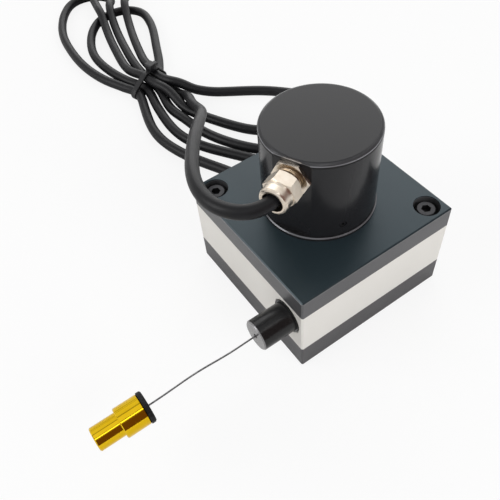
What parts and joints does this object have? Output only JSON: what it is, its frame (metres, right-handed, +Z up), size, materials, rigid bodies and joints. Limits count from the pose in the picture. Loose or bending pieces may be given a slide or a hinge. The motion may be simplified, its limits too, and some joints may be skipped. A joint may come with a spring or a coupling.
{
  "type": "draw wire encoder",
  "caption": "Draw wire encoder: a sprung wire drum in a square metal housing, a round encoder on top, a wire with a gold end fitting, and a bundled signal cable.",
  "frame": {"origin": "centre of the base plate's underside, on the drum's axis", "axes": "+Z up along the drum's axis, out of the mounting face; -Y is the way the wire leaves the nozzle"},
  "size_m": [0.297, 0.1779, 0.0727],
  "materials": {
    "black_anodised_plate": "fine blasted black anodised aluminium with a blue-green sheen",
    "dark_plate": "dark grey anodised aluminium, cut edges",
    "silver_frame": "satin silver anodised aluminium",
    "black_cap": "satin black painted metal",
    "black_nozzle": "satin black, with a turned grey end face",
    "black_oxide_steel": "oiled black steel screws",
    "bright_steel": "ground steel",
    "spring_steel": "blued spring strip",
    "wire_rope": "stranded stainless wire rope",
    "drum_metal": "turned aluminium",
    "ceramic": "polished ceramic guide bush",
    "felt": "pressed felt",
    "gold_fitting": "bright gold anodised, turned",
    "ferrule_copper": "crimped copper",
    "black_rubber": "smooth black rubber",
    "nickel_brass": "nickel-plated brass",
    "disc_glass": "clear disc with a ring of fine dark lines",
    "board_green": "green solder mask",
    "black_plastic": "moulded black plastic",
    "white_plastic": "natural nylon connector",
    "cable_jacket": "soft matte black jacket",
    "core_insulation": "coloured core insulation with tinned ends"
  },
  "bodies": {
    "housing": {"base_plate": "dark_plate", "housing_frame": "silver_frame", "top_plate": "black_anodised_plate", "housing_screws": "black_oxide_steel", "base_screws": "black_oxide_steel", "wire_nozzle": "black_nozzle", "nozzle_guide_bush": "ceramic", "dust_wiper": "felt", "spring_case": "bright_steel", "spring_case_cover": "bright_steel", "power_spring": "spring_steel", "lower_bearing_outer_ring": "bright_steel", "lower_bearing_balls": "bright_steel", "upper_bearing_outer_ring": "bright_steel", "upper_bearing_balls": "bright_steel", "encoder_flange": "black_cap", "flange_screws": "bright_steel", "encoder_bearing_outer_rings": "bright_steel", "encoder_bearing_balls": "bright_steel", "sensor_head": "black_plastic", "circuit_board": "board_green", "board_posts": "nickel_brass", "board_screws": "bright_steel", "board_socket": "white_plastic", "cap_gasket": "black_rubber", "encoder_cap": "black_cap", "cap_screws": "black_oxide_steel", "gland_body": "nickel_brass", "gland_seal": "black_rubber", "gland_nut": "nickel_brass", "cable_lead": "cable_jacket", "cable_hank": "cable_jacket", "cable_tie": "black_plastic", "cable_cores": "core_insulation"},
    "drum": {"drum_shaft": "bright_steel", "spring_arbor": "bright_steel", "wire_drum": "drum_metal", "drum_set_screws": "black_oxide_steel", "wire_winding": "wire_rope", "lower_bearing_inner_ring": "bright_steel", "upper_bearing_inner_ring": "bright_steel", "encoder_shaft": "bright_steel", "encoder_bearing_inner_rings": "bright_steel", "disc_hub": "drum_metal", "code_disc": "disc_glass"},
    "wire_end": {"draw_wire": "wire_rope", "stop_buffer": "black_rubber", "wire_end_fitting": "gold_fitting", "wire_ferrule": "ferrule_copper"}
  },
  "joints": [
    {"name": "drum_spin", "type": "hinge", "parent": "housing", "child": "drum", "pos_m": [0, 0, 0], "axis": [0, 0, -1], "range_deg": [-95, 2300], "stiffness_Nm_per_rad": 0.00125, "springref_deg": -3265.86, "deforming": ["power_spring"]},
    {"name": "wire_pull", "type": "slide", "parent": "housing", "child": "wire_end", "axis": [0, -1, 0], "range_m": [-0.0399, 0.96], "deforming": ["draw_wire"]}
  ],
  "couplings": [
    {"joint": "wire_pull", "follows": "drum_spin", "m_per_rad": 0.023873}
  ]
}
